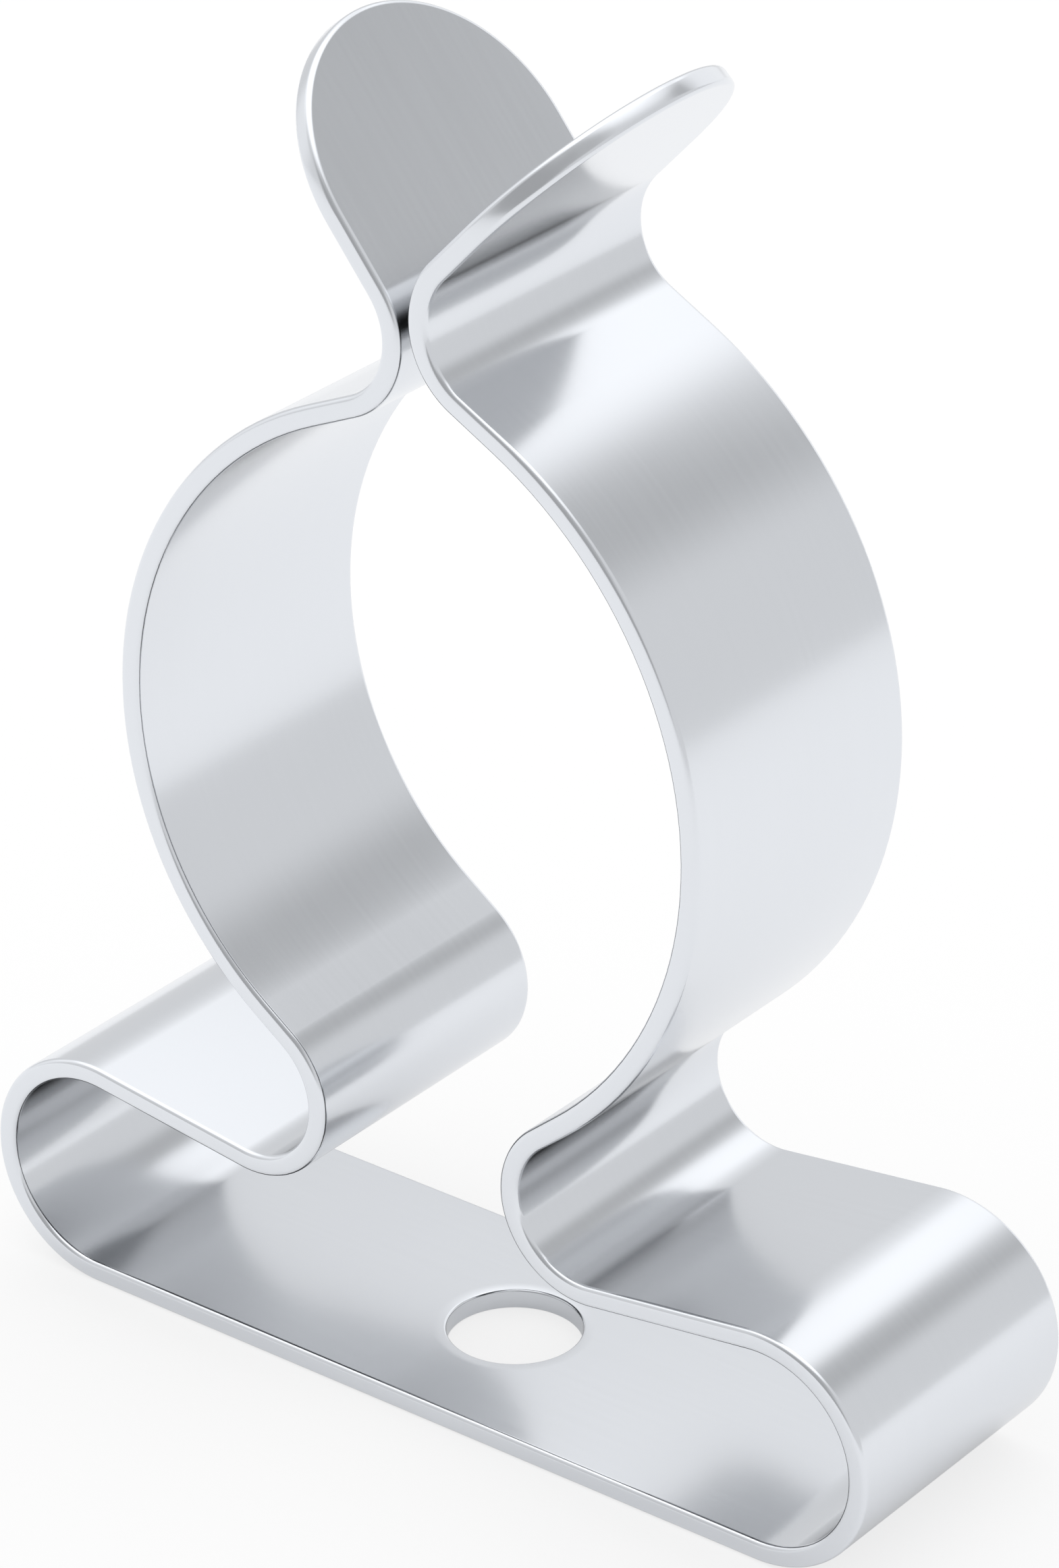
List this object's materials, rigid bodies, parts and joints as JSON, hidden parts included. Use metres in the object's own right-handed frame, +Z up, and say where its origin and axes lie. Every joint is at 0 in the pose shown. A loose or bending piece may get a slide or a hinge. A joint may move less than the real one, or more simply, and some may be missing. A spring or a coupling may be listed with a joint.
{
  "type": "cable clip",
  "caption": "Spring-steel cable clip bent from one strip: flat base with a screw hole, looped ends, round sprung jaws and flared finger tabs.",
  "frame": {"origin": "on the axis of the screw hole, at the underside of the base", "axes": "+Z up from the base to the tabs, +X along the base to the right jaw, +Y across the strip's width"},
  "size_m": [0.0392, 0.012, 0.0508],
  "materials": {
    "spring_steel": "bright plated spring steel, smooth satin polish with soft reflections"
  },
  "bodies": {
    "root": {"clip_strip": "spring_steel"}
  },
  "joints": []
}
